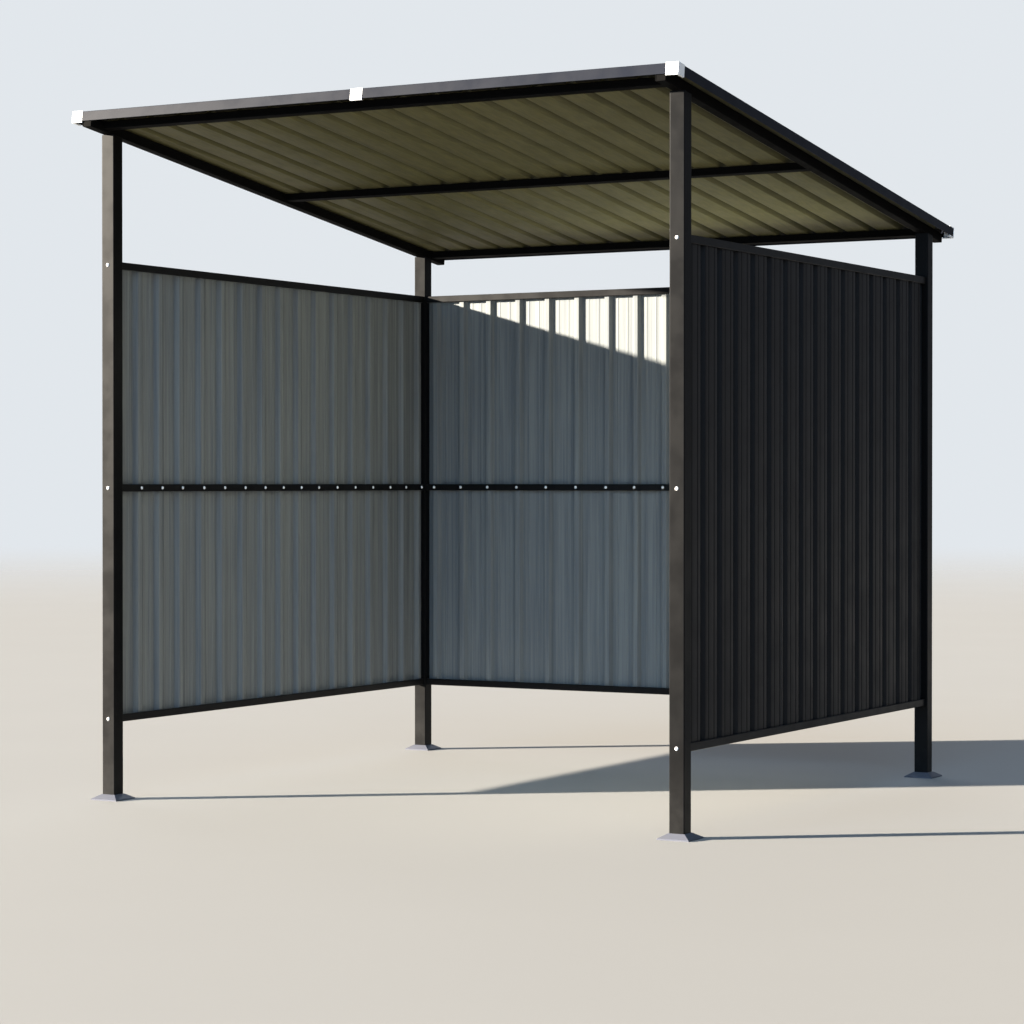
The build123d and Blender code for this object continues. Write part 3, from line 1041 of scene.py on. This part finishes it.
@dataclass
class Studio:
    """A pale floor that fades into a pale backdrop, four lights and the camera."""

    floor_radius: float = 60.0
    floor_solid: float = 13.0
    floor_faded: float = 48.0
    floor_sides: int = 96
    floor_colour: Colour = (0.305, 0.300, 0.290)
    backdrop: Colour = (0.76, 0.80, 0.84)
    ambient: Colour = (0.80, 0.87, 1.00)
    ambient_strength: float = 0.26
    lamps: tuple[Lamp, ...] = (
        Lamp("key_light", (1.28, 1.0, -0.348), 28.0, (1.0, 0.90, 0.76), 1.1),
        Lamp("fill_light", (-0.12, 1.0, -0.48), 2.0, (0.36, 0.65, 1.00), 70.0),
        Lamp("back_light", (0.80, -1.0, -0.24), 3.0, (0.84, 0.90, 1.00), 50.0),
    )
    bounce_place: Triple = (0.45, 1.12, 1.98)
    bounce_size: Pair = (1.5, 0.32)
    bounce_power: float = 9.0
    bounce_colour: Colour = (0.95, 0.98, 0.80)
    camera_place: Triple = (5.5927, -10.2473, 1.2792)
    camera_turn: float = 29.7207
    camera_tilt: float = -0.5119
    lens: float = 97.653
    sensor: float = 36.0
    axis_pixel: Pair = (480.52, 508.01)
    frame_side: float = 1024.0

    def build(self) -> None:
        """Sets up the whole studio."""
        self._floor()
        self._world()
        for lamp in self.lamps:
            lamp.hang()
        self._bounce()
        self._camera()
        bpy.context.scene.view_settings.view_transform = "Standard"
        bpy.context.scene.view_settings.look = "None"
        log.info("studio set up")

    def _floor(self) -> None:
        """Lays a round floor that grows transparent towards its rim."""
        turns = [math.tau * n / self.floor_sides for n in range(self.floor_sides)]
        points = [(self.floor_radius * math.cos(t), self.floor_radius * math.sin(t), 0.0) for t in turns]
        mesh = bpy.data.meshes.new("studio_floor")
        mesh.from_pydata(points, [], [tuple(range(self.floor_sides))])
        floor = put_in_scene("studio_floor", mesh)
        paving = Dressing("pale_studio_floor")
        graph, place = paving.graph, paving.place
        away = graph.signal("ShaderNodeVectorMath", {"operation": "LENGTH"}, {0: place}, "Value")
        fade = graph.ramp(away, self.floor_solid, self.floor_faded)
        cloud = graph.noise(place, scale=0.8, detail=3.0)
        colour = graph.blend(cloud, shade(self.floor_colour, 0.98), shade(self.floor_colour, 1.02))
        solid = graph.signal("ShaderNodeBsdfDiffuse", None, {"Color": colour})
        clear = graph.signal("ShaderNodeBsdfTransparent")
        surface = graph.signal("ShaderNodeMixShader", None, {0: fade, 1: solid, 2: clear})
        graph.node("ShaderNodeOutputMaterial", None, {"Surface": surface})
        mesh.materials.append(paving.material)

    def _world(self) -> None:
        """Lights the shelter with a cool, even sky and shows a pale backdrop behind it."""
        world = bpy.data.worlds.new("studio_world")
        bpy.context.scene.world = world
        world.use_nodes = True
        world.node_tree.nodes.clear()
        graph = Graph(world.node_tree)
        sky = {"Color": shade(self.ambient), "Strength": self.ambient_strength}
        shown = {"Color": shade(self.backdrop), "Strength": 1.0}
        surface = graph.signal("ShaderNodeMixShader", None, {
            0: graph.signal("ShaderNodeLightPath", output="Is Camera Ray"),
            1: graph.signal("ShaderNodeBackground", None, sky),
            2: graph.signal("ShaderNodeBackground", None, shown),
        })
        graph.node("ShaderNodeOutputWorld", None, {"Surface": surface})

    def _bounce(self) -> None:
        """Lights the roof and the walls softly from where the key light meets the back wall."""
        data = bpy.data.lights.new("bounce_light", "AREA")
        data.shape = "RECTANGLE"
        data.size, data.size_y = self.bounce_size
        data.energy = self.bounce_power
        data.color = self.bounce_colour
        lamp = put_in_scene("bounce_light", data)
        lamp.location = self.bounce_place
        lamp.rotation_euler = Vector((0.0, -1.0, 0.0)).to_track_quat("-Z", "Z").to_euler()
        lamp.visible_camera = False
        lamp.visible_glossy = False

    def _camera(self) -> None:
        """Stands the camera where the photograph was taken."""
        data = bpy.data.cameras.new("camera")
        data.lens = self.lens
        data.sensor_width = self.sensor
        data.shift_x = (self.frame_side / 2 - self.axis_pixel[0]) / self.frame_side
        data.shift_y = (self.axis_pixel[1] - self.frame_side / 2) / self.frame_side
        camera = put_in_scene("camera", data)
        camera.location = self.camera_place
        turn = (90.0 + self.camera_tilt, 0.0, self.camera_turn)
        camera.rotation_euler = Euler([math.radians(angle) for angle in turn])
        bpy.context.scene.camera = camera


def main() -> None:
    """Builds and dresses the shelter, one sub-assembly after another."""
    logging.basicConfig(level=logging.INFO, format="%(name)s: %(message)s")
    finishes = Finishes.mix()
    profile = SheetProfile()
    Steelwork(finishes).build()
    low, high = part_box("left_wall_top_rail")
    side_pattern = RibPattern(first=0.139, close_gap=0.143, wide_gap=0.1535, span=high.y - low.y)
    Wall(Side.LEFT, finishes, profile, side_pattern).build()
    Wall(Side.RIGHT, finishes, profile, side_pattern).build()
    low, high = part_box("back_wall_top_rail")
    back_pattern = RibPattern(first=0.043, close_gap=0.1465, wide_gap=0.1575, span=high.x - low.x)
    Wall(Side.BACK, finishes, profile, back_pattern).build()
    Roof(finishes, SheetProfile(swage_shares=(), ribs_outward=True)).build()
    Studio().build()


if __name__ == "__main__":
    main()
